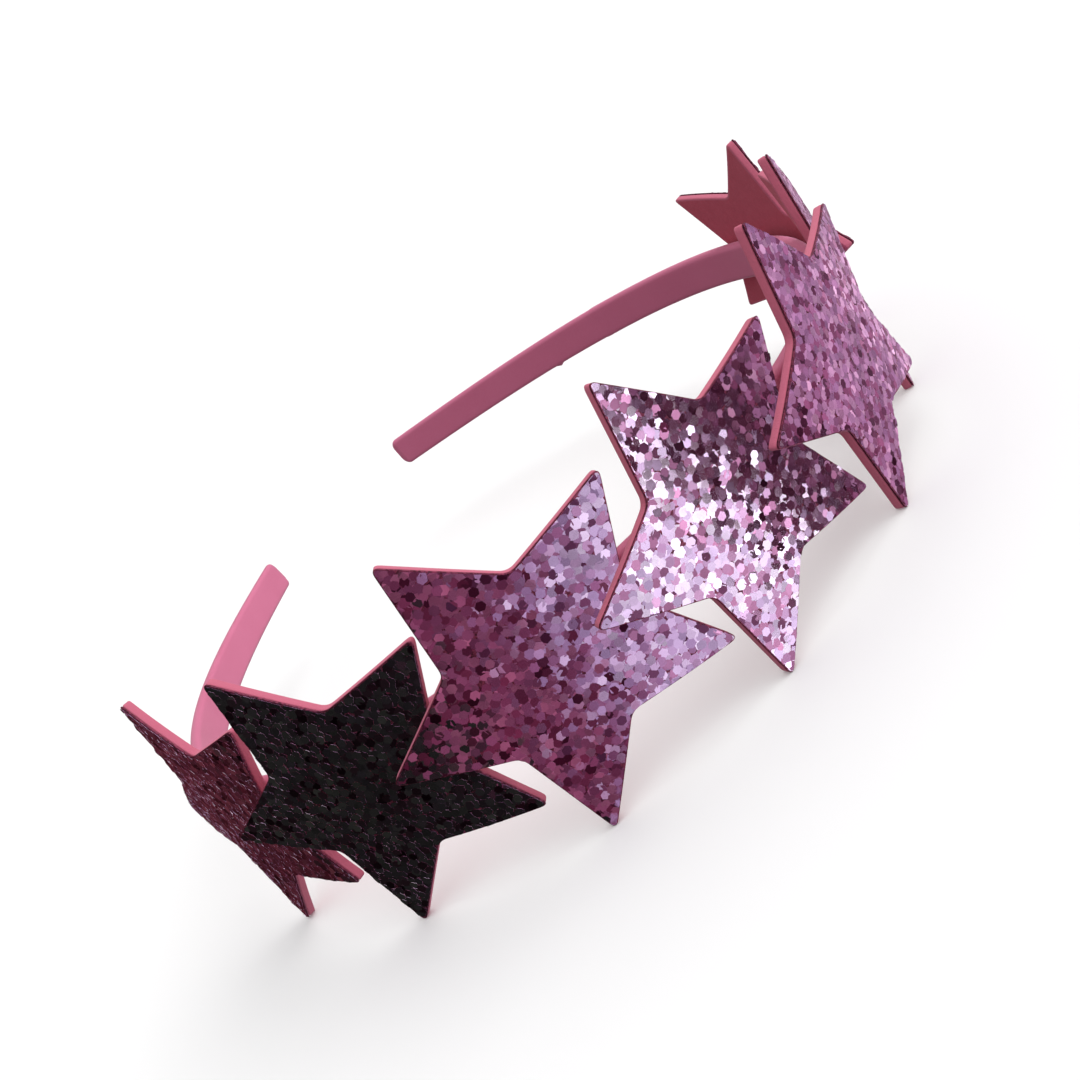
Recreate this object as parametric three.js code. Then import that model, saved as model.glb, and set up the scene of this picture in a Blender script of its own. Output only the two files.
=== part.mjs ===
// Star headband: a slim covered band bent into a U, with felt-backed glitter stars shingled along its crown.
// It lies on its side and rests on the lowest arm of every star.
// Millimetres, +Z up. The crown faces -Y, the two legs run back towards +Y.
import * as THREE from 'three';

// The band, measured along its middle line from the crown
const BAND_WIDTH = 6.8;
const BAND_THICKNESS = 2.0;
const BAND_EDGE_RADIUS = 0.8;
const BAND_HALF_LENGTH = 190;
const BAND_END_RADIUS = 1.6;
const BAND_HEIGHT = 19.5;
const CROWN_RADIUS = 59.5;
const CROWN_HALF_LENGTH = 69.5;
const STRAIGHT_AT = 201.5;

// One star, flat as it is cut: points and notches are measured from its centre to where straight sides meet
const STAR_ARMS = 5;
const STAR_POINT = 21.0;
const STAR_NOTCH = 10.7;
const POINT_TRIM = 1.2;
const NOTCH_TRIM = 1.0;
const FELT_THICKNESS = 1.0;
const GLITTER_THICKNESS = 0.5;

// A star's two layers and its neighbours lie a small gap apart
const GAP = 0.3;

// Each star's place along the band in mm, its turn in its own plane and its sideways lean in degrees,
// how far its first arm is tipped up in degrees, how far its middle stands off the band in mm,
// and the radius in mm that it is curled to along the band
const STARS = [
  { along: -80.5, turn: -1.2, lean: 7.0, tipUp: 2.5, lift: 0.95, curl: 102 },
  { along: -53.7, turn: 2.8, lean: 2.6, tipUp: 5.3, lift: 1.25, curl: 104 },
  { along: -28.3, turn: -0.2, lean: 2.0, tipUp: 4.6, lift: 1.2, curl: 104 },
  { along: -3.2, turn: 3.9, lean: 0.5, tipUp: 4.7, lift: 1.28, curl: 104 },
  { along: 21.1, turn: 3.0, lean: -2.8, tipUp: 1.0, lift: 2.72, curl: 104 },
  { along: 47.2, turn: -4.0, lean: -1.0, tipUp: 0.0, lift: 0.56, curl: 62 },
  { along: 75.0, turn: -5.8, lean: 4.6, tipUp: 5.4, lift: 1.15, curl: 102 },
];

// Fineness of the faceted surfaces
const BAND_STEPS = 75;
const PATH_STEP = 0.5;
const CORNER_STEPS = 2;
const END_STEPS = 3;
const STAR_RINGS = [0.45, 0.8, 1];

const bandMaterial = new THREE.MeshStandardMaterial({ color: 0xc88aa8, roughness: 0.45, metalness: 0 });
const feltMaterial = new THREE.MeshStandardMaterial({ color: 0xb85f7c, roughness: 0.95, metalness: 0 });
const glitterMaterial = new THREE.MeshStandardMaterial({ color: 0x8a5a86, roughness: 0.3, metalness: 0.6 });

const radians = THREE.MathUtils.degToRad;

// Direction of the band, as an angle from +X, at a distance along it: a round crown that straightens evenly
function bandAngle(along) {
  const distance = Math.abs(along);
  const easing = STRAIGHT_AT - CROWN_HALF_LENGTH;
  const left = STRAIGHT_AT - distance;
  const eased = CROWN_HALF_LENGTH + (easing ** 2 - left ** 2) / (2 * easing);
  const turned = distance < CROWN_HALF_LENGTH ? distance : eased;
  return Math.sign(along) * turned / CROWN_RADIUS;
}

// Point of the band's middle line with its direction and outward normal, both level
function bandFrame(along) {
  const steps = Math.max(1, Math.ceil(Math.abs(along) / PATH_STEP));
  const step = along / steps;
  const point = new THREE.Vector3(0, 0, BAND_HEIGHT);
  for (let i = 0; i < steps; i += 1) {
    const angle = bandAngle((i + 0.5) * step);
    point.x += Math.cos(angle) * step;
    point.y += Math.sin(angle) * step;
  }
  const angle = bandAngle(along);
  const direction = new THREE.Vector3(Math.cos(angle), Math.sin(angle), 0);
  const outward = new THREE.Vector3(Math.sin(angle), -Math.cos(angle), 0);
  return { point, direction, outward };
}

// Closed solid from a list of vertices and a list of triangles
function solidGeometry(vertices, triangles) {
  const geometry = new THREE.BufferGeometry();
  geometry.setAttribute('position', new THREE.Float32BufferAttribute(vertices.flatMap((v) => v.toArray()), 3));
  geometry.setIndex(triangles.flat());
  geometry.computeVertexNormals();
  return geometry;
}

// Rounded rectangle of the band's section, counter-clockwise, x outward and y up
function bandSection(halfWidth) {
  const x = BAND_THICKNESS / 2 - BAND_EDGE_RADIUS;
  const y = halfWidth - BAND_EDGE_RADIUS;
  const corners = [[x, y], [-x, y], [-x, -y], [x, -y]];
  return corners.flatMap(([cx, cy], corner) => {
    const points = [];
    for (let i = 0; i <= CORNER_STEPS; i += 1) {
      const angle = (corner + i / CORNER_STEPS) * Math.PI / 2;
      const offset = new THREE.Vector2(Math.cos(angle), Math.sin(angle)).multiplyScalar(BAND_EDGE_RADIUS);
      points.push(new THREE.Vector2(cx, cy).add(offset));
    }
    return points;
  });
}

// Places of the band's sections, from leg end to leg end, with the half width at each
function bandStations() {
  const full = BAND_WIDTH / 2;
  const body = BAND_HALF_LENGTH - BAND_END_RADIUS;
  const stations = [];
  for (let i = 0; i <= BAND_STEPS; i += 1) {
    stations.push({ along: body * (2 * i / BAND_STEPS - 1), halfWidth: full });
  }
  for (let i = 1; i <= END_STEPS; i += 1) {
    const angle = i / END_STEPS * Math.PI / 2;
    const along = body + BAND_END_RADIUS * Math.sin(angle);
    const halfWidth = full - BAND_END_RADIUS * (1 - Math.cos(angle));
    stations.push({ along, halfWidth });
    stations.unshift({ along: -along, halfWidth });
  }
  return stations;
}

function bandGeometry() {
  const vertices = [];
  const triangles = [];
  const stations = bandStations();
  const count = bandSection(BAND_WIDTH / 2).length;
  for (const { along, halfWidth } of stations) {
    const { point, outward } = bandFrame(along);
    for (const corner of bandSection(halfWidth)) {
      const vertex = point.clone().addScaledVector(outward, corner.x);
      vertex.z += corner.y;
      vertices.push(vertex);
    }
  }
  for (let i = 0; i + 1 < stations.length; i += 1) {
    for (let j = 0; j < count; j += 1) {
      const a = i * count + j;
      const b = i * count + (j + 1) % count;
      triangles.push([a, b + count, b], [a, a + count, b + count]);
    }
  }
  const last = (stations.length - 1) * count;
  for (let j = 1; j + 1 < count; j += 1) {
    triangles.push([0, j, j + 1], [last, last + j + 1, last + j]);
  }
  return solidGeometry(vertices, triangles);
}

// Flat outline of a star with blunt points and notches; its first arm points back along the band
function starOutline(turn) {
  const corners = [];
  for (let i = 0; i < 2 * STAR_ARMS; i += 1) {
    const angle = Math.PI - radians(turn) + i * Math.PI / STAR_ARMS;
    const reach = i % 2 === 0 ? STAR_POINT : STAR_NOTCH;
    corners.push(new THREE.Vector2(Math.cos(angle), Math.sin(angle)).multiplyScalar(reach));
  }
  const shape = new THREE.Shape();
  corners.forEach((corner, i) => {
    const trim = i % 2 === 0 ? POINT_TRIM : NOTCH_TRIM;
    const before = corners.at(i - 1).clone().sub(corner).setLength(trim).add(corner);
    const after = corners[(i + 1) % corners.length].clone().sub(corner).setLength(trim).add(corner);
    if (i === 0) {
      shape.moveTo(before.x, before.y);
    } else {
      shape.lineTo(before.x, before.y);
    }
    shape.quadraticCurveTo(corner.x, corner.y, after.x, after.y);
  });
  return shape.getPoints(CORNER_STEPS);
}

// A point of the flat star, moved to a height above its underside and curled along the band
function curled(flat, height, curl) {
  const angle = flat.x / curl;
  const radius = curl + height;
  return new THREE.Vector3(Math.sin(angle) * radius, flat.y, Math.cos(angle) * radius - curl);
}

// One layer of a star between two heights above its underside: rings of vertices about the centre on each face
function starLayer(outline, curl, bottom, top) {
  const vertices = [];
  const triangles = [];
  const count = outline.length;
  const faceSize = 1 + STAR_RINGS.length * count;
  for (const height of [bottom, top]) {
    vertices.push(curled(new THREE.Vector2(0, 0), height, curl));
    for (const share of STAR_RINGS) {
      vertices.push(...outline.map((point) => curled(point.clone().multiplyScalar(share), height, curl)));
    }
  }
  const addTriangle = (a, b, c) => {
    triangles.push([a + faceSize, b + faceSize, c + faceSize], [a, c, b]);
  };
  for (let j = 0; j < count; j += 1) {
    const next = (j + 1) % count;
    addTriangle(0, 1 + j, 1 + next);
    for (let ring = 0; ring + 1 < STAR_RINGS.length; ring += 1) {
      const inner = 1 + ring * count;
      const outer = inner + count;
      addTriangle(inner + j, outer + j, outer + next);
      addTriangle(inner + j, outer + next, inner + next);
    }
    const low = faceSize - count;
    const high = low + faceSize;
    triangles.push([low + j, low + next, high + next], [low + j, high + next, high + j]);
  }
  return solidGeometry(vertices, triangles);
}

// A star's two layers in a group that stands on the floor at its place on the band
function starGroup({ along, turn, lean, tipUp, lift, curl }, name) {
  const outline = starOutline(turn);
  const glitterBottom = FELT_THICKNESS + GAP;
  const glitterTop = glitterBottom + GLITTER_THICKNESS;
  const felt = new THREE.Mesh(starLayer(outline, curl, 0, FELT_THICKNESS), feltMaterial);
  felt.name = `${name}_felt`;
  const glitter = new THREE.Mesh(starLayer(outline, curl, glitterBottom, glitterTop), glitterMaterial);
  glitter.name = `${name}_glitter`;

  const tilted = new THREE.Group();
  tilted.rotation.set(-radians(lean), radians(tipUp), 0, 'YXZ');
  tilted.add(felt, glitter);

  const { point, direction, outward } = bandFrame(along);
  const placed = new THREE.Group();
  const up = new THREE.Vector3(0, 0, 1);
  placed.setRotationFromMatrix(new THREE.Matrix4().makeBasis(direction, up, outward));
  placed.position.copy(point).addScaledVector(outward, BAND_THICKNESS / 2 + lift);
  placed.add(tilted);
  placed.position.z -= new THREE.Box3().setFromObject(placed, true).min.z;
  return placed;
}

const headband = new THREE.Group();
const band = new THREE.Mesh(bandGeometry(), bandMaterial);
band.name = 'band';
headband.add(band);
STARS.forEach((star, i) => headband.add(starGroup(star, `star_${i + 1}`)));

// The origin is the middle of the floor under the whole headband
const extent = new THREE.Box3().setFromObject(headband, true);
const middle = extent.getCenter(new THREE.Vector3());
headband.position.set(-middle.x, -middle.y, -extent.min.z);

export default headband;
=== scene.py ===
"""Looks of the star headband: a satin-covered band and seven felt stars faced with chunky glitter."""

import math
from collections import namedtuple

import bpy
import numpy as np
from mathutils import Matrix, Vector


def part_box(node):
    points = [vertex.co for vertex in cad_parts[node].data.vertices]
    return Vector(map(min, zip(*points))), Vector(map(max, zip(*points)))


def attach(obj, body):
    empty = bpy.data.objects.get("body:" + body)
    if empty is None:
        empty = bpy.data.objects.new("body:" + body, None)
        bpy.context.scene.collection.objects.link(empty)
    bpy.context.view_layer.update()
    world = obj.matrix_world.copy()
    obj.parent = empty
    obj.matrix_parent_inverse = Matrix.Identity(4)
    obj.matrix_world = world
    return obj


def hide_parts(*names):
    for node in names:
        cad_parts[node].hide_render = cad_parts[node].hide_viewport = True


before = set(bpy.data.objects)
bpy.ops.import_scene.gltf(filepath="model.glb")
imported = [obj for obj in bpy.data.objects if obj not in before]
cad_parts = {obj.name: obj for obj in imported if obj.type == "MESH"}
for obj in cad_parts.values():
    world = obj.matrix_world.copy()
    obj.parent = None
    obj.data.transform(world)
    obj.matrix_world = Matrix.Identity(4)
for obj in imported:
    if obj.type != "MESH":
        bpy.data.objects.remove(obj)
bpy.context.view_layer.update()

MM = 0.001
UP = np.array([0.0, 0.0, 1.0])
FULL_TURN = 360

# The band, measured along its middle line from the crown
BAND_WIDTH = 6.8 * MM
BAND_THICKNESS = 2.0 * MM
BAND_EDGE_RADIUS = 0.85 * MM
BAND_HALF_LENGTH = 190 * MM
BAND_END_RADIUS = 1.6 * MM
BAND_END_THINNING = 0.55 * MM
CROWN_RADIUS = 59.5 * MM
CROWN_HALF_LENGTH = 69.5 * MM
STRAIGHT_AT = 201.5 * MM
PATH_STEP = 0.25 * MM
BAND_STATION = 1.0 * MM
EDGE_STEPS = 6
FACE_STEPS = 8
END_STEPS = 8

# The cover's end laps over itself on one leg, and a bead of glue sits on the lower edge near it
LAP_AT = 126 * MM
LAP_RISE = 0.09 * MM
LAP_LENGTH = 0.5 * MM
LAP_FADE = 6 * MM
GLUE_AT = 140.6 * MM
GLUE_REACH = 0.55 * MM
GLUE_RISE = 0.5 * MM
GLUE_INWARD = 0.2 * MM

# One star, flat as it is cut
STAR_ARMS = 5
STAR_POINT = 21.0 * MM
STAR_NOTCH = 10.7 * MM
POINT_TRIM = 1.2 * MM
NOTCH_TRIM = 1.0 * MM
CORNER_STEPS = 6
SIDE_STEPS = 10
FACE_SHARES = (0.12, 0.25, 0.4, 0.55, 0.7, 0.82, 0.91, 0.97)

# Heights of a star's layers above its underside
FELT_CUT_THICKNESS = 1.0 * MM
FELT_TOP = 1.15 * MM
FELT_ROUNDING = 0.25 * MM
SHEET_BOTTOM = 1.17 * MM
SHEET_TOP = 1.42 * MM
SHEET_ROUNDING = 0.08 * MM
ROUNDING_STEPS = 4

# Each star's place along the band in mm, its turn, sideways lean and first arm's tip-up in degrees,
# its lift in mm and the radius in mm that it is curled to along the band
Star = namedtuple("Star", "along turn lean tip_up lift curl")
STARS = [
    Star(along=-80.5, turn=-1.2, lean=7.0, tip_up=2.5, lift=0.95, curl=102),
    Star(along=-53.7, turn=2.8, lean=2.6, tip_up=5.3, lift=1.25, curl=104),
    Star(along=-28.3, turn=-0.2, lean=2.0, tip_up=4.6, lift=1.2, curl=104),
    Star(along=-3.2, turn=3.9, lean=0.5, tip_up=4.7, lift=1.28, curl=104),
    Star(along=21.1, turn=3.0, lean=-2.8, tip_up=1.0, lift=2.72, curl=104),
    Star(along=47.2, turn=-4.0, lean=-1.0, tip_up=0.0, lift=0.56, curl=62),
    Star(along=75.0, turn=-5.8, lean=4.6, tip_up=5.4, lift=1.15, curl=102),
]

# Six-sided flakes of film, cut to the star's outline
FLAKE_SIDES = 6
FLAKE_THICKNESS = 0.015 * MM
FLAKE_SEED = 7
STAR_SEED_STEP = 100
LAYER_SEED_STEP = 10
FLAKE_INSET = 0.12 * MM
POINTS_PER_SPACING = 3.0

# Layers of flakes from the lowest: a flake's full width in mm and the smallest flake's share of it,
# the least spacing in mm, the tilt in degrees, the rise above the sheet in mm and how far it varies
FlakeLayer = namedtuple("FlakeLayer", "width smallest spacing tilt rise scatter")
FLAKE_LAYERS = [
    FlakeLayer(width=1.0, smallest=0.7, spacing=0.55, tilt=2.5, rise=0.03, scatter=0.02),
    FlakeLayer(width=1.15, smallest=0.8, spacing=0.74, tilt=3.5, rise=0.09, scatter=0.03),
    FlakeLayer(width=1.1, smallest=0.85, spacing=1.7, tilt=4.6, rise=0.14, scatter=0.02),
]

# The studio as the glitter mirrors it: cards of one tint and brightness, which fade into each other,
# at compass angles in degrees from -Y towards +X
Card = namedtuple("Card", "compass tint")
CARDS = [
    Card(compass=-180, tint=(0.10, 0.02, 0.03)),
    Card(compass=-138, tint=(0.075, 0.018, 0.024)),
    Card(compass=-120, tint=(0.0125, 0.014, 0.011)),
    Card(compass=-54, tint=(0.0125, 0.014, 0.011)),
    Card(compass=-47, tint=(0.22, 0.060, 0.110)),
    Card(compass=-31, tint=(0.22, 0.060, 0.110)),
    Card(compass=-20, tint=(0.46, 0.33, 0.49)),
    Card(compass=-9, tint=(0.76, 0.66, 0.80)),
    Card(compass=4, tint=(0.74, 0.67, 0.78)),
    Card(compass=14, tint=(1.12, 1.05, 1.15)),
    Card(compass=22, tint=(1.62, 1.54, 1.66)),
    Card(compass=31, tint=(2.40, 2.30, 2.45)),
    Card(compass=34, tint=(0.10, 0.025, 0.052)),
    Card(compass=55, tint=(0.08, 0.018, 0.038)),
    Card(compass=60, tint=(0.44, 0.19, 0.30)),
    Card(compass=65, tint=(0.78, 0.43, 0.61)),
    Card(compass=74, tint=(0.50, 0.27, 0.41)),
    Card(compass=100, tint=(0.55, 0.31, 0.46)),
    Card(compass=110, tint=(0.95, 0.62, 0.80)),
    Card(compass=130, tint=(0.85, 0.53, 0.74)),
    Card(compass=150, tint=(0.12, 0.030, 0.045)),
    Card(compass=180, tint=(0.10, 0.02, 0.03)),
]

# A card stands at its angle at one height, the upward part of the direction to it. Above and below it
# leans over: by the slant in degrees for each unit of height, up to the lean's top above that height.
# The lean grows from none at -Y to the full slant towards +X, and is small and reversed towards -X.
CARD_SLANT = 125
CARD_UPRIGHT_AT = -0.41
CARD_LEAN_GROWTH = 18.0
CARD_LEFT_LEAN = -0.25
CARD_LEAN_TOP = 0.07

# Clutter in the studio breaks the cards up into brighter and darker patches
CLUTTER_SIZE = 0.075
CLUTTER_CONTRAST = 6.5
CLUTTER_DARKEST = 0.3
CLUTTER_BRIGHTEST = 2.2

# Soft light from all round, stronger from +X (east), -Y (south) and above, a white backdrop and a soft sun
FILL_DIM = 0.15
FILL_BRIGHT = 1.3
FILL_FROM_EAST = 0.4
FILL_FROM_ABOVE = 0.45
FILL_FROM_SOUTH = 0.2
FILL_LEVEL = 0.5
BACKDROP = 1.1
SUN_STRENGTH = 0.7
SUN_SPREAD = 50
SUN_AZIMUTH = 62
SUN_HEIGHT = 48
FLOOR_HALF = 40.0

# The camera: its place, the way it looks in degrees and its lens in mm
CAMERA_PLACE = (-54.11 * MM, -157.34 * MM, 62.96 * MM)
CAMERA_AZIMUTH = 20.75
CAMERA_DIP = 18.94
CAMERA_ROLL = 41.02
CAMERA_LENS = 33.639
CAMERA_SENSOR = 36.0
CAMERA_NEAR = 0.005
CAMERA_FAR = 200.0


class Socket:
    """One output of a node, which takes part in arithmetic."""

    def __init__(self, nodes, output):
        self.nodes = nodes
        self.output = output

    def math(self, operation, *values):
        sockets = dict(enumerate((self,) + values))
        return self.nodes.add("ShaderNodeMath", {"operation": operation}, sockets)

    def __add__(self, other):
        return self.math("ADD", other)

    __radd__ = __add__

    def __mul__(self, other):
        return self.math("MULTIPLY", other)

    __rmul__ = __mul__

    def __sub__(self, other):
        return self.math("SUBTRACT", other)

    def __rsub__(self, other):
        return self * -1 + other

    def __truediv__(self, other):
        return self.math("DIVIDE", other)


class Nodes:
    """A node tree that grows by one node at a time."""

    def __init__(self, tree):
        self.tree = tree
        tree.nodes.clear()

    def add(self, kind, settings=None, sockets=None, output=0):
        """Adds a node, sets its settings and then its sockets, and gives one of its outputs."""
        node = self.tree.nodes.new(kind)
        for name, value in (settings or {}).items():
            if name == "stops":
                set_stops(node.color_ramp, value)
            else:
                setattr(node, name, value)
        for name, value in (sockets or {}).items():
            if isinstance(value, Socket):
                self.tree.links.new(value.output, node.inputs[name])
            else:
                node.inputs[name].default_value = value
        return Socket(self, node.outputs[output]) if len(node.outputs) else node

    def mix(self, share, first, second):
        """Colour between two colours."""
        settings = {"data_type": "RGBA", "clamp_factor": True}
        return self.add("ShaderNodeMix", settings, {0: share, 6: first, 7: second}, 2)


def set_stops(ramp, stops):
    """Gives a colour ramp its stops, as pairs of place and colour."""
    while len(ramp.elements) < len(stops):
        ramp.elements.new(1.0)
    for element, (place, colour) in zip(ramp.elements, stops):
        element.position = place
        element.color = colour


def rgb(red, green, blue):
    return (red, green, blue, 1.0)


def grey(level):
    return rgb(level, level, level)


def new_material(name):
    material = bpy.data.materials.new(name)
    material.use_nodes = True
    return material, Nodes(material.node_tree)


def finish_material(nodes, **sockets):
    """Ends a material in a surface shader, with socket names written with underscores."""
    named = {name.replace("_", " "): value for name, value in sockets.items()}
    shader = nodes.add("ShaderNodeBsdfPrincipled", None, named)
    nodes.add("ShaderNodeOutputMaterial", None, {"Surface": shader})


def noise(nodes, place, grain, detail=3.0, roughness=0.55):
    """Soft noise from 0 to 1 with the given grain in metres."""
    sockets = {"Vector": place, "Scale": 1 / grain, "Detail": detail, "Roughness": roughness}
    return nodes.add("ShaderNodeTexNoise", None, sockets, "Fac")


def bump(nodes, height, depth, strength=1.0):
    return nodes.add("ShaderNodeBump", None, {"Height": height, "Distance": depth, "Strength": strength})


def satin_cover():
    """Smooth pink satin, woven in fine slanting lines, with painted shade in the weave's valleys."""
    material, nodes = new_material("satin_cover")
    thread = 0.16 * MM
    thread_slant = 0.5
    weave_depth = 0.02 * MM
    cloud_size = 9 * MM
    grain_size = 0.5 * MM
    deep_pink = rgb(0.55, 0.107, 0.214)
    bright_pink = rgb(0.63, 0.144, 0.270)
    # Paler pink for the raised weave; the valleys keep the darker pink as painted shade
    raised_weave_pink = rgb(0.70, 0.26, 0.40)
    cover = nodes.add("ShaderNodeUVMap", {"uv_map": "cover"})
    along = nodes.add("ShaderNodeSeparateXYZ", None, {"Vector": cover}, "X")
    around = nodes.add("ShaderNodeSeparateXYZ", None, {"Vector": cover}, "Y")
    twill = ((along + around * thread_slant) * (2 * math.pi / thread)).math("SINE") * 0.5 + 0.5
    place = nodes.add("ShaderNodeTexCoord", None, None, "Object")
    cloud = noise(nodes, place, cloud_size)
    grain = noise(nodes, place, grain_size)
    pink = nodes.mix(cloud, deep_pink, bright_pink)
    # Paler on the raised weave lines and darker in the valleys between them: painted shade; the grain also
    # adds random tone
    weave_shade_and_grain = nodes.mix(grain * 0.2 + twill * 0.2, pink, raised_weave_pink)
    height = twill * 0.6 + grain * 0.4
    finish_material(
        nodes,
        Base_Color=weave_shade_and_grain,
        Roughness=0.42 + grain * 0.16,
        Normal=bump(nodes, height, weave_depth, strength=0.5),
        Sheen_Weight=0.2,
        Sheen_Roughness=0.4,
        Specular_IOR_Level=0.4,
    )
    return material


def pink_felt():
    """Matted pink felt with loose fibres, slight mottling and a painted sheen on its cut edges."""
    material, nodes = new_material("pink_felt")
    clump_size = 1.6 * MM
    fibre_width = 0.16 * MM
    nap_depth = 0.22 * MM
    deep_pink = rgb(0.39, 0.035, 0.068)
    bright_pink = rgb(0.49, 0.061, 0.106)
    # Paler pink for the cut edges: painted sheen, partly the lighter fuzz of cut felt
    edge_sheen_pink = rgb(0.49, 0.115, 0.185)
    loose_fibre = rgb(0.78, 0.20, 0.29)
    place = nodes.add("ShaderNodeTexCoord", None, None, "Object")
    clump = noise(nodes, place, clump_size, detail=4.0)
    fibres = []
    for stretch in ((1.0, 0.22, 0.4), (0.3, 1.0, 0.24)):
        drawn_out = nodes.add("ShaderNodeMapping", None, {"Vector": place, "Scale": stretch})
        fibres.append(noise(nodes, drawn_out, fibre_width, detail=2.0))
    fuzz = fibres[0] * 0.5 + fibres[1] * 0.5
    base = nodes.mix(clump, deep_pink, bright_pink)
    # The cut edges are mixed paler: painted sheen where light catches them, partly the lighter fuzz of cut
    # felt
    cut_edge = nodes.add("ShaderNodeAttribute", {"attribute_name": "cut_edge"}, None, "Fac")
    with_edge_sheen = nodes.mix(cut_edge, base, edge_sheen_pink)
    light = nodes.mix(fuzz * 0.35, with_edge_sheen, loose_fibre)
    height = fuzz * 0.7 + clump * 0.3
    finish_material(
        nodes,
        Base_Color=light,
        Roughness=0.95,
        Normal=bump(nodes, height, nap_depth, strength=0.6),
        Sheen_Weight=0.1,
        Sheen_Roughness=0.6,
        Specular_IOR_Level=0.15,
    )
    return material


def plum_lacquer():
    """The dark lacquer under the flakes, with dust-fine glitter in it."""
    material, nodes = new_material("plum_lacquer")
    speck_size = 0.22 * MM
    speck_depth = 0.05 * MM
    dark_plum = rgb(0.08, 0.02, 0.035)
    bright_plum = rgb(0.34, 0.07, 0.13)
    place = nodes.add("ShaderNodeTexCoord", None, None, "Object")
    speck = nodes.add("ShaderNodeTexVoronoi", None, {"Vector": place, "Scale": 1 / speck_size}, "Color")
    tone = nodes.add("ShaderNodeSeparateColor", None, {"Color": speck}, "Red")
    colour = nodes.mix(tone, dark_plum, bright_plum)
    finish_material(
        nodes,
        Base_Color=colour,
        Metallic=0.7,
        Roughness=0.35,
        Normal=bump(nodes, tone, speck_depth, strength=0.8),
    )
    return material


def glitter_film():
    """Metallised film flakes from plum to lilac, each of one tone."""
    material, nodes = new_material("glitter_film")
    tone = nodes.add("ShaderNodeAttribute", {"attribute_name": "flake_tone"}, None, "Fac")
    stops = [
        (0.0, rgb(0.10, 0.03, 0.07)),
        (0.2, rgb(0.52, 0.24, 0.40)),
        (0.45, rgb(0.57, 0.44, 0.64)),
        (0.75, rgb(0.75, 0.61, 0.79)),
        (1.0, rgb(0.92, 0.83, 0.95)),
    ]
    colour = nodes.add("ShaderNodeValToRGB", {"stops": stops}, {"Fac": tone})
    finish_material(
        nodes,
        Base_Color=colour,
        Metallic=1.0,
        Roughness=0.2 - tone * 0.07,
        Coat_Weight=0.05,
        Coat_Roughness=0.08,
    )
    return material


def white_floor():
    material, nodes = new_material("white_floor")
    finish_material(nodes, Base_Color=grey(0.9), Roughness=0.9, Specular_IOR_Level=0.1)
    return material


def band_angle(along):
    """Direction of the band, as an angle from +X, at distances along it."""
    distance = np.abs(along)
    easing = STRAIGHT_AT - CROWN_HALF_LENGTH
    eased = CROWN_HALF_LENGTH + (easing**2 - (STRAIGHT_AT - distance) ** 2) / (2 * easing)
    turned = np.where(distance < CROWN_HALF_LENGTH, distance, eased)
    return np.sign(along) * turned / CROWN_RADIUS


def crown_point():
    """Middle of the band at the crown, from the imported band's box."""
    low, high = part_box("band")
    return np.array([(low.x + high.x) / 2, low.y + BAND_THICKNESS / 2, (low.z + high.z) / 2])


def band_frames(along):
    """Points of the band's middle line, its directions and outward normals, at rising places along it."""
    count = round(BAND_HALF_LENGTH / PATH_STEP)
    edges = np.arange(-count, count + 1) * PATH_STEP
    middles = (edges[:-1] + edges[1:]) / 2
    steps = np.column_stack((np.cos(band_angle(middles)), np.sin(band_angle(middles)))) * PATH_STEP
    line = np.vstack((np.zeros(2), np.cumsum(steps, axis=0)))
    line -= line[count]
    points = np.column_stack([np.interp(along, edges, line[:, axis]) for axis in (0, 1)])
    angles = band_angle(along)
    flat = np.zeros_like(angles)
    direction = np.column_stack((np.cos(angles), np.sin(angles), flat))
    outward = np.column_stack((np.sin(angles), -np.cos(angles), flat))
    return np.column_stack((points, flat)) + crown_point(), direction, outward


def new_piece(name, vertices, faces, material):
    """Smooth mesh object at the origin with its place in its vertices."""
    mesh = bpy.data.meshes.new(name)
    mesh.from_pydata(vertices.tolist(), [], faces)
    mesh.materials.append(material)
    mesh.shade_smooth()
    piece = bpy.data.objects.new(name, mesh)
    bpy.context.scene.collection.objects.link(piece)
    return piece


def ring_faces(rings, count):
    """Quads between rings of vertices that follow each other in one list."""
    faces = []
    for ring in range(rings - 1):
        for j in range(count):
            following = (j + 1) % count
            low, high = ring * count, (ring + 1) * count
            faces.append((low + j, low + following, high + following, high + j))
    return faces


def band_section(half_width, half_thickness):
    """Rounded rectangle, x outward and y up, counter-clockwise, its two wide faces in steps."""
    radius = min(BAND_EDGE_RADIUS, half_width, half_thickness)
    x, y = half_thickness - radius, half_width - radius
    turn = np.linspace(0, math.pi / 2, EDGE_STEPS + 1)
    down = np.linspace(y, -y, FACE_STEPS + 1)[1:-1]
    inner_face = np.column_stack((np.full_like(down, -half_thickness), down))
    runs = []
    for quarter, middle in enumerate(((x, y), (-x, y), (-x, -y), (x, -y))):
        angles = quarter * math.pi / 2 + turn
        runs.append(np.array(middle) + radius * np.column_stack((np.cos(angles), np.sin(angles))))
        if quarter == 1:
            runs.append(inner_face)
    return np.vstack(runs + [-inner_face])


def band_stations():
    """Places of the sections along the band, with how far the sides are drawn in at each."""
    body = BAND_HALF_LENGTH - BAND_END_RADIUS
    count = round(2 * body / BAND_STATION)
    rows = [(along, 0.0) for along in np.linspace(-body, body, count + 1)]
    for i in range(1, END_STEPS + 1):
        angle = i / END_STEPS * math.pi / 2
        along = body + BAND_END_RADIUS * math.sin(angle)
        inset = BAND_END_RADIUS * (1 - math.cos(angle))
        rows.append((along, inset))
        rows.insert(0, (-along, inset))
    return rows


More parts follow.
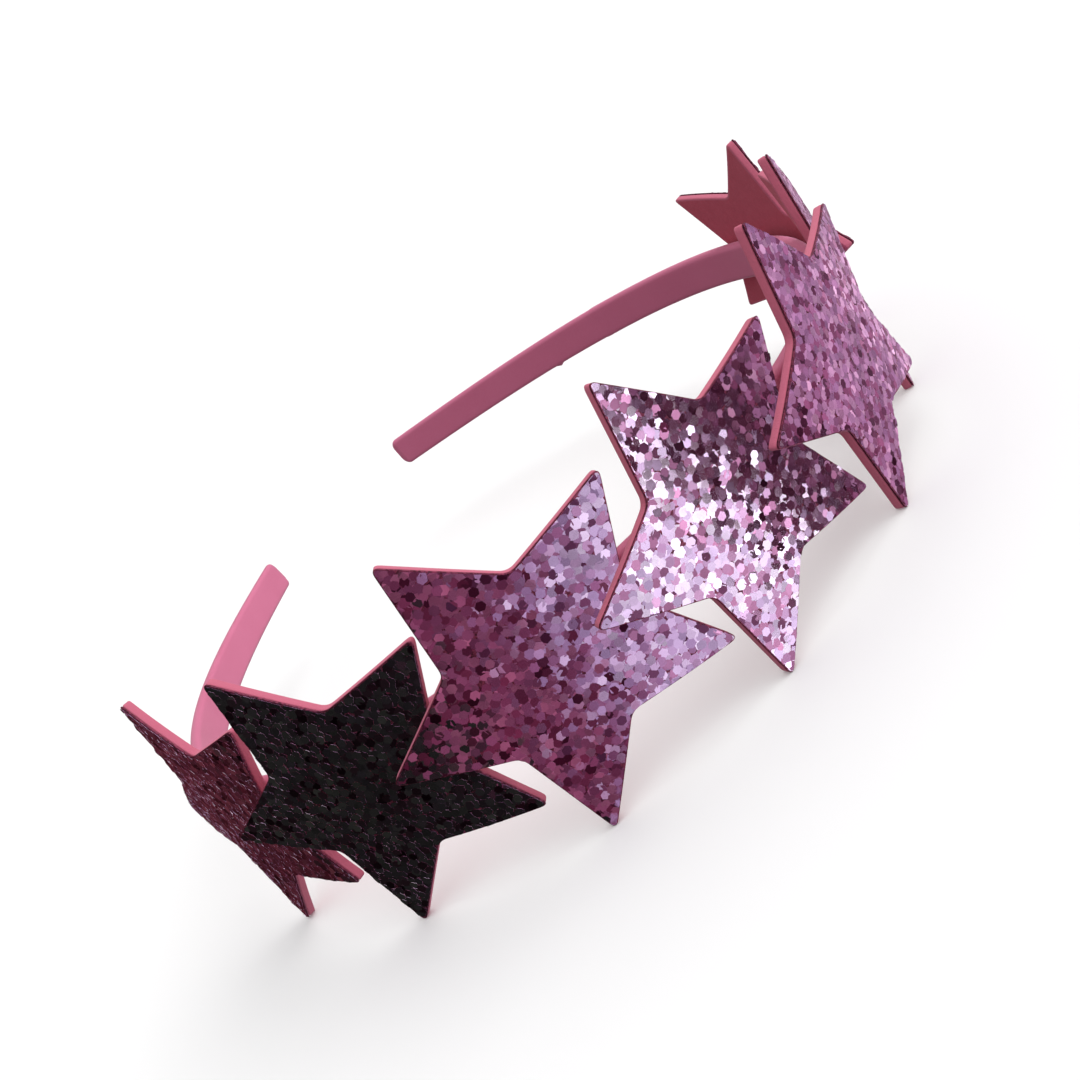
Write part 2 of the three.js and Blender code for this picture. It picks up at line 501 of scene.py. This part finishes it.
def covered_section(along, inset):
    """Section of the covered band, swollen by the cover's lap and by the bead of glue."""
    past_lap = LAP_AT - along
    lap = LAP_RISE * np.clip(past_lap / LAP_LENGTH + 0.5, 0, 1) * math.exp(-max(0, past_lap) / LAP_FADE)
    half_width = BAND_WIDTH / 2 - inset + lap
    half_thickness = BAND_THICKNESS / 2 - min(inset, BAND_END_THINNING) + lap
    section = band_section(half_width, half_thickness)
    glue = GLUE_RISE * math.exp(-(((along - GLUE_AT) / GLUE_REACH) ** 2))
    inner = np.exp(-(((section[:, 0] + GLUE_INWARD) / GLUE_REACH) ** 2))
    low = section[:, 1] < -half_width + BAND_EDGE_RADIUS
    section[:, 1] -= np.where(low, glue * inner, 0)
    return section


def make_band(material):
    """The covered band, with the lap of its cover and a bead of glue on its lower edge."""
    stations = band_stations()
    along = np.array([row[0] for row in stations])
    points, _, outward = band_frames(along)
    sections = [covered_section(*row) for row in stations]
    rings = []
    for point, out, section in zip(points, outward, sections):
        rings.append(point + section[:, :1] * out + section[:, 1:] * UP)
    count = len(rings[0])
    faces = [tuple(reversed(face)) for face in ring_faces(len(rings), count)]
    last = (len(rings) - 1) * count
    faces.append(tuple(range(count)))
    faces.append(tuple(last + j for j in reversed(range(count))))
    piece = new_piece("band_cover", np.vstack(rings), faces, material)
    middle = sections[len(sections) // 2]
    lengths = np.linalg.norm(np.diff(middle, axis=0), axis=1)
    girth = np.concatenate(([0.0], np.cumsum(lengths)))
    uv = np.column_stack((np.repeat(along, count), np.tile(girth, len(rings))))
    layer = piece.data.uv_layers.new(name="cover")
    corners = np.zeros(len(piece.data.loops), np.int32)
    piece.data.loops.foreach_get("vertex_index", corners)
    layer.data.foreach_set("uv", uv[corners].astype(np.float32).ravel())
    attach(piece, "root")
    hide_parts("band")


def unit(vector):
    return vector / np.linalg.norm(vector)


def star_outline(turn):
    """Flat outline of a star, counter-clockwise, with blunt corners; its first arm points back."""
    index = np.arange(2 * STAR_ARMS)
    angles = math.pi - math.radians(turn) + index * math.pi / STAR_ARMS
    reach = np.where(index % 2 == 0, STAR_POINT, STAR_NOTCH)
    corners = np.column_stack((np.cos(angles), np.sin(angles))) * reach[:, None]
    points = []
    for i, corner in enumerate(corners):
        trim = POINT_TRIM if i % 2 == 0 else NOTCH_TRIM
        next_trim = NOTCH_TRIM if i % 2 == 0 else POINT_TRIM
        following = corners[(i + 1) % len(corners)]
        back = unit(corners[i - 1] - corner) * trim
        ahead = unit(following - corner)
        for t in np.linspace(0, 1, CORNER_STEPS + 1):
            points.append(corner + back * (1 - t) ** 2 + ahead * trim * t**2)
        start = corner + ahead * trim
        end = following - ahead * next_trim
        for t in np.arange(1, SIDE_STEPS) / SIDE_STEPS:
            points.append(start + (end - start) * t)
    return np.array(points)


def outward_normals(outline):
    """Unit normals of a counter-clockwise outline at its points."""
    tangent = np.roll(outline, -1, axis=0) - np.roll(outline, 1, axis=0)
    normal = np.column_stack((tangent[:, 1], -tangent[:, 0]))
    return normal / np.linalg.norm(normal, axis=1)[:, None]


def at_height(outline, height):
    return np.column_stack((outline, np.full(len(outline), height)))


def star_placer(star, felt_node):
    """Gives a function that takes points of the flat star, with heights, to their place on the band."""
    points, directions, outwards = band_frames(np.array([star.along * MM]))
    basis = np.column_stack((directions[0], UP, outwards[0]))
    tip = Matrix.Rotation(math.radians(star.tip_up), 3, "Y")
    lean = Matrix.Rotation(math.radians(-star.lean), 3, "X")
    turned = basis @ np.array(tip @ lean)
    seat = points[0] + outwards[0] * (BAND_THICKNESS / 2 + star.lift * MM)
    curl = star.curl * MM

    def place(flat):
        angle = flat[:, 0] / curl
        radius = curl + flat[:, 2]
        height = np.cos(angle) * radius - curl
        curled = np.column_stack((np.sin(angle) * radius, flat[:, 1], height))
        return curled @ turned.T + seat

    outline = star_outline(star.turn)
    cut = np.vstack([at_height(outline, height) for height in (0, FELT_CUT_THICKNESS)])
    seat[2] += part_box(felt_node)[0].z - place(cut)[:, 2].min()
    return place


def layer_rings(bottom, top, rounding):
    """Rings of a cut layer, from the middle of its underside to that of its face: share, inset, height."""
    arc = [i / ROUNDING_STEPS * math.pi / 2 for i in range(ROUNDING_STEPS + 1)]
    rings = [(share, rounding, bottom) for share in FACE_SHARES]
    for angle in arc:
        inset = rounding * (1 - math.sin(angle))
        rise = rounding * (1 - math.cos(angle))
        rings.append((1, inset, bottom + rise))
    for angle in arc:
        inset = rounding * (1 - math.cos(angle))
        drop = rounding * (1 - math.sin(angle))
        rings.append((1, inset, top - drop))
    rings += [(share, rounding, top) for share in reversed(FACE_SHARES)]
    return rings


def cut_layer(name, outline, rings, place, material):
    """A closed layer of a star, built in rings about its middle."""
    normals = outward_normals(outline)
    count = len(outline)
    stacked = [at_height((outline - normals * inset) * share, height) for share, inset, height in rings]
    ends = np.array([[0, 0, rings[0][2]], [0, 0, rings[-1][2]]])
    vertices = place(np.vstack(stacked + [ends]))
    faces = ring_faces(len(rings), count)
    low_middle = len(rings) * count
    last = (len(rings) - 1) * count
    for j in range(count):
        following = (j + 1) % count
        faces.append((low_middle, following, j))
        faces.append((low_middle + 1, last + j, last + following))
    piece = new_piece(name, vertices, faces, material)
    # The edge rings are marked for the painted sheen on the felt's cut edges
    on_edge = np.repeat([float(share == 1) for share, _, _ in rings], count)
    edge = piece.data.attributes.new("cut_edge", "FLOAT", "POINT")
    edge.data.foreach_set("value", np.concatenate((on_edge, np.zeros(len(ends)))).astype(np.float32))
    return piece


def flake_tree(material):
    """Geometry nodes that scatter one layer of flakes over a flat star and add them to what is there."""
    tree = bpy.data.node_groups.new("glitter_flakes", "GeometryNodeTree")
    panel = tree.interface
    panel.new_socket("Flakes", in_out="OUTPUT", socket_type="NodeSocketGeometry")
    panel.new_socket("Flakes so far", in_out="INPUT", socket_type="NodeSocketGeometry")
    panel.new_socket("Star face", in_out="INPUT", socket_type="NodeSocketObject")
    for name in ("Width", "Smallest share", "Spacing", "Density", "Tilt", "Rise", "Scatter"):
        panel.new_socket(name, in_out="INPUT", socket_type="NodeSocketFloat")
    panel.new_socket("Seed", in_out="INPUT", socket_type="NodeSocketInt")
    nodes = Nodes(tree)
    group = tree.nodes.new("NodeGroupInput")
    given = {socket.name: Socket(nodes, socket) for socket in group.outputs if socket.name}

    def random_value(low, high, draw):
        sockets = {2: low, 3: high, "Seed": given["Seed"] + draw}
        return nodes.add("FunctionNodeRandomValue", {"data_type": "FLOAT"}, sockets, 1)

    # Points over the star, a little above it
    face = nodes.add("GeometryNodeObjectInfo", None, {"Object": given["Star face"]}, "Geometry")
    spread = {
        "Mesh": face,
        "Distance Min": given["Spacing"],
        "Density Max": given["Density"],
        "Seed": given["Seed"],
    }
    spaced = {"distribute_method": "POISSON"}
    points = nodes.add("GeometryNodeDistributePointsOnFaces", spaced, spread, "Points")
    height = given["Rise"] + given["Scatter"] * random_value(-1.0, 1.0, draw=1)
    lift = nodes.add("ShaderNodeCombineXYZ", None, {"Z": height})
    raised = nodes.add("GeometryNodeSetPosition", None, {"Geometry": points, "Offset": lift})

    # A flake on each point, spun, tilted and sized at random, and of one tone
    corner_reach = given["Width"] / (2 * math.cos(math.pi / FLAKE_SIDES))
    shape = {"Vertices": FLAKE_SIDES, "Radius": corner_reach, "Depth": FLAKE_THICKNESS}
    flake = nodes.add("GeometryNodeMeshCylinder", {"fill_type": "NGON"}, shape, "Mesh")
    lean_x = given["Tilt"] * (random_value(-1.0, 1.0, draw=2) + random_value(-1.0, 1.0, draw=3))
    lean_y = given["Tilt"] * (random_value(-1.0, 1.0, draw=4) + random_value(-1.0, 1.0, draw=5))
    spin = random_value(0.0, 2 * math.pi, draw=6)
    turn = nodes.add("ShaderNodeCombineXYZ", None, {"X": lean_x, "Y": lean_y, "Z": spin})
    size = random_value(given["Smallest share"], 1.0, draw=7)
    copies = {"Points": raised, "Instance": flake, "Rotation": turn, "Scale": size}
    flakes = nodes.add("GeometryNodeInstanceOnPoints", None, copies)
    tone = {"Geometry": flakes, "Name": "flake_tone", "Value": random_value(0.0, 1.0, draw=8)}
    one_each = {"data_type": "FLOAT", "domain": "INSTANCE"}
    toned = nodes.add("GeometryNodeStoreNamedAttribute", one_each, tone)
    real = nodes.add("GeometryNodeRealizeInstances", None, {"Geometry": toned})

    # Flakes that reach over the star's cut edge are trimmed to it
    where = nodes.add("GeometryNodeInputPosition")
    apart = nodes.add("ShaderNodeSeparateXYZ", None, {"Vector": where}, "Z")
    without_height = (1.0, 1.0, 0.0)
    flat = nodes.add("ShaderNodeVectorMath", {"operation": "MULTIPLY"}, {0: where, 1: without_height})
    search = {0: face, "Sample Position": flat}
    nearest = nodes.add("GeometryNodeProximity", {"target_element": "FACES"}, search, "Position")
    lifted = nodes.add("ShaderNodeCombineXYZ", None, {"Z": apart})
    trimmed = nodes.add("ShaderNodeVectorMath", {"operation": "ADD"}, {0: nearest, 1: lifted})
    cut = nodes.add("GeometryNodeSetPosition", None, {"Geometry": real, "Position": trimmed})
    flat_shaded = nodes.add("GeometryNodeSetShadeSmooth", None, {"Geometry": cut, "Shade Smooth": False})
    finish = {"Geometry": flat_shaded, "Material": material}
    coloured = nodes.add("GeometryNodeSetMaterial", None, finish)
    join = tree.nodes.new("GeometryNodeJoinGeometry")
    tree.links.new(given["Flakes so far"].output, join.inputs[0])
    tree.links.new(coloured.output, join.inputs[0])
    result = tree.nodes.new("NodeGroupOutput")
    tree.links.new(join.outputs[0], result.inputs[0])
    return tree


def flat_face(outline, material):
    """Flat star for the flakes to be scattered on."""
    shares = FACE_SHARES + (1.0,)
    rings = [at_height(outline * share, 0) for share in shares]
    vertices = np.vstack(rings + [np.zeros((1, 3))])
    count = len(outline)
    faces = [tuple(reversed(face)) for face in ring_faces(len(shares), count)]
    middle = len(shares) * count
    faces += [(middle, j, (j + 1) % count) for j in range(count)]
    return new_piece("flat_face", vertices, faces, material)


def make_flakes(name, outline, place, tree, material, seed):
    """All flakes of one star as a plain mesh, bent and placed with it."""
    face = flat_face(outline - outward_normals(outline) * FLAKE_INSET, material)
    carrier = bpy.data.objects.new("carrier", bpy.data.meshes.new("carrier"))
    bpy.context.scene.collection.objects.link(carrier)
    inputs = [item for item in tree.interface.items_tree if item.in_out == "INPUT"]
    identifiers = {item.name: item.identifier for item in inputs}
    for number, layer in enumerate(FLAKE_LAYERS):
        modifier = carrier.modifiers.new(f"layer_{number}", "NODES")
        modifier.node_group = tree
        values = {
            "Star face": face,
            "Width": layer.width * MM,
            "Smallest share": layer.smallest,
            "Spacing": layer.spacing * MM,
            "Density": POINTS_PER_SPACING / (layer.spacing * MM) ** 2,
            "Tilt": math.radians(layer.tilt),
            "Rise": SHEET_TOP + layer.rise * MM,
            "Scatter": layer.scatter * MM,
            "Seed": seed + LAYER_SEED_STEP * number,
        }
        for label, value in values.items():
            modifier[identifiers[label]] = value
    graph = bpy.context.evaluated_depsgraph_get()
    mesh = bpy.data.meshes.new_from_object(carrier.evaluated_get(graph))
    bpy.data.objects.remove(carrier)
    bpy.data.objects.remove(face)
    mesh.name = name
    flat = np.zeros(len(mesh.vertices) * 3, np.float32)
    mesh.vertices.foreach_get("co", flat)
    placed = place(flat.reshape(-1, 3).astype(float))
    mesh.vertices.foreach_set("co", placed.astype(np.float32).ravel())
    mesh.update()
    piece = bpy.data.objects.new(name, mesh)
    bpy.context.scene.collection.objects.link(piece)
    return piece


def make_star(number, star, materials, tree):
    """One star: its felt backing, its lacquered sheet and the flakes on it."""
    name = f"star_{number}"
    outline = star_outline(star.turn)
    place = star_placer(star, f"{name}_felt")
    felt_rings = layer_rings(0, FELT_TOP, FELT_ROUNDING)
    felt = cut_layer(f"{name}_backing", outline, felt_rings, place, materials["felt"])
    sheet_rings = layer_rings(SHEET_BOTTOM, SHEET_TOP, SHEET_ROUNDING)
    sheet = cut_layer(f"{name}_glitter_sheet", outline, sheet_rings, place, materials["lacquer"])
    seed = FLAKE_SEED + STAR_SEED_STEP * number
    flakes = make_flakes(f"{name}_flakes", outline, place, tree, materials["film"], seed)

    # Stars aren't mirrored in each other's glitter
    for piece in (felt, sheet, flakes):
        piece.visible_glossy = False
        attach(piece, "root")
    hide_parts(f"{name}_felt")
    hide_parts(f"{name}_glitter")


def studio_world():
    """Soft light from all round, bright and dark cards for the glitter to mirror, and a white backdrop."""
    world = bpy.data.worlds.new("studio")
    bpy.context.scene.world = world
    world.use_nodes = True
    nodes = Nodes(world.node_tree)
    direction = nodes.add("ShaderNodeTexCoord", None, None, "Generated")
    east = nodes.add("ShaderNodeSeparateXYZ", None, {"Vector": direction}, "X")
    north = nodes.add("ShaderNodeSeparateXYZ", None, {"Vector": direction}, "Y")
    above = nodes.add("ShaderNodeSeparateXYZ", None, {"Vector": direction}, "Z")

    # The compass angle as a share of a full turn, with -Y in the middle, and the cards' lean added to it
    middle = 0.5
    upright = east.math("ARCTAN2", north * -1) / (2 * math.pi) + middle
    leaning = ((upright - middle) * CARD_LEAN_GROWTH).math("MINIMUM", 1.0).math("MAXIMUM", CARD_LEFT_LEAN)
    rise = (above - CARD_UPRIGHT_AT).math("MINIMUM", CARD_LEAN_TOP)
    slant = rise * leaning * (CARD_SLANT / FULL_TURN)
    compass = (upright + slant).math("FRACT")
    stops = [(card.compass / FULL_TURN + middle, rgb(*card.tint)) for card in CARDS]
    cards = nodes.add("ShaderNodeValToRGB", {"stops": stops}, {"Fac": compass})
    patches = noise(nodes, direction, CLUTTER_SIZE, detail=1.0)
    clutter = patches * CLUTTER_CONTRAST + (1 - CLUTTER_CONTRAST / 2)
    kept = clutter.math("MAXIMUM", CLUTTER_DARKEST).math("MINIMUM", CLUTTER_BRIGHTEST)
    mirrored = nodes.add("ShaderNodeVectorMath", {"operation": "SCALE"}, {0: cards, "Scale": kept})

    # Diffuse rays find the soft fill, glossy rays the cards and the camera the backdrop
    share = east * FILL_FROM_EAST + above * FILL_FROM_ABOVE - north * FILL_FROM_SOUTH + FILL_LEVEL
    fill = nodes.mix(share, grey(FILL_DIM), grey(FILL_BRIGHT))
    glossy = nodes.add("ShaderNodeLightPath", None, None, "Is Glossy Ray")
    seen = nodes.add("ShaderNodeLightPath", None, None, "Is Camera Ray")
    light = nodes.mix(seen, nodes.mix(glossy, fill, mirrored), grey(BACKDROP))
    shine = nodes.add("ShaderNodeBackground", None, {"Color": light, "Strength": 1.0})
    nodes.add("ShaderNodeOutputWorld", None, {"Surface": shine})


def studio_stage():
    """White floor that the headband doesn't mirror, and a soft sun."""
    half = FLOOR_HALF
    corners = np.array([(-half, -half, 0), (half, -half, 0), (half, half, 0), (-half, half, 0)])
    floor = new_piece("floor", corners, [(0, 1, 2, 3)], white_floor())
    floor.visible_glossy = False
    floor.visible_diffuse = False
    sun = bpy.data.lights.new("soft_sun", "SUN")
    sun.energy = SUN_STRENGTH
    sun.angle = math.radians(SUN_SPREAD)
    lamp = bpy.data.objects.new("soft_sun", sun)
    lamp.rotation_euler = (math.radians(90 - SUN_HEIGHT), 0, math.radians(SUN_AZIMUTH))
    bpy.context.scene.collection.objects.link(lamp)


def photo_camera():
    lens = bpy.data.cameras.new("photo_camera")
    lens.sensor_width = CAMERA_SENSOR
    lens.lens = CAMERA_LENS
    lens.clip_start = CAMERA_NEAR
    lens.clip_end = CAMERA_FAR
    camera = bpy.data.objects.new("photo_camera", lens)
    azimuth = Matrix.Rotation(math.radians(-CAMERA_AZIMUTH), 4, "Z")
    dip = Matrix.Rotation(math.radians(90 - CAMERA_DIP), 4, "X")
    roll = Matrix.Rotation(math.radians(-CAMERA_ROLL), 4, "Z")
    camera.matrix_world = Matrix.Translation(CAMERA_PLACE) @ azimuth @ dip @ roll
    bpy.context.scene.collection.objects.link(camera)
    bpy.context.scene.camera = camera


def main():
    bpy.context.scene.view_settings.view_transform = "Standard"
    photo_camera()
    studio_world()
    studio_stage()
    materials = {"felt": pink_felt(), "lacquer": plum_lacquer(), "film": glitter_film()}
    make_band(satin_cover())
    tree = flake_tree(materials["film"])
    for number, star in enumerate(STARS, start=1):
        make_star(number, star, materials, tree)


main()
